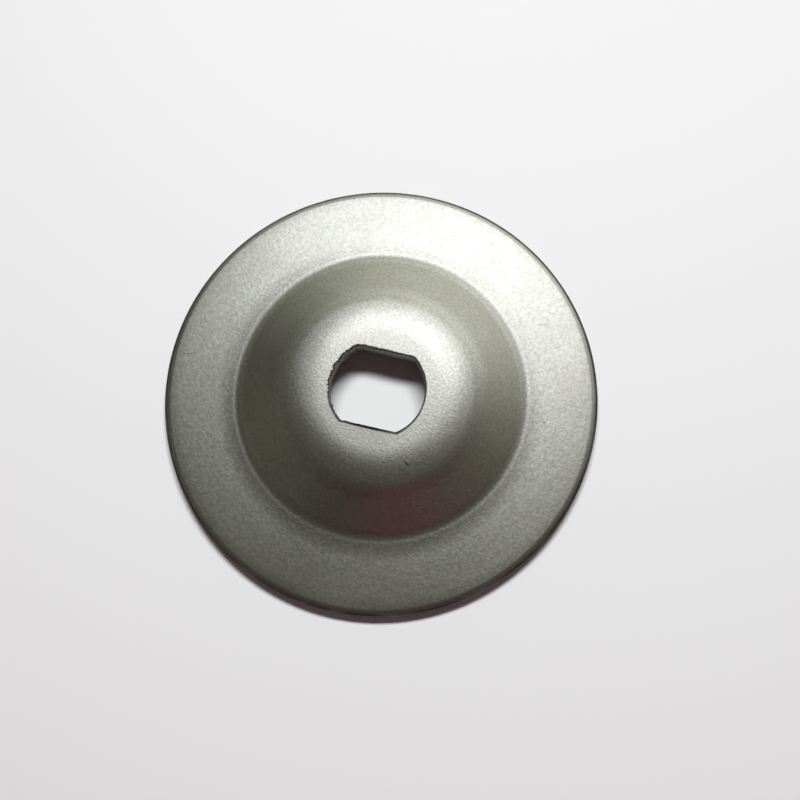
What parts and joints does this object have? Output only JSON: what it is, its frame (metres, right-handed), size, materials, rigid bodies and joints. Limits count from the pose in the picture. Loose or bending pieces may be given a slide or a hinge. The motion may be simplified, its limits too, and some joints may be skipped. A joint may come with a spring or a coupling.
{
  "type": "brush cutter thrust washer",
  "caption": "Dished round steel washer with a flat rim, a hollow dome and a double-D hole, which clamps a cutting blade under the shaft nut.",
  "frame": {"origin": "on the washer's axis, in the plane of the rim's lower face", "axes": "+Z along the axis, out of the top of the dome; +X along the flats of the hole"},
  "size_m": [0.056, 0.056, 0.0067],
  "materials": {
    "steel": "satin grey, tumbled and lightly oiled"
  },
  "bodies": {
    "root": {"thrust_washer": "steel"}
  },
  "joints": []
}
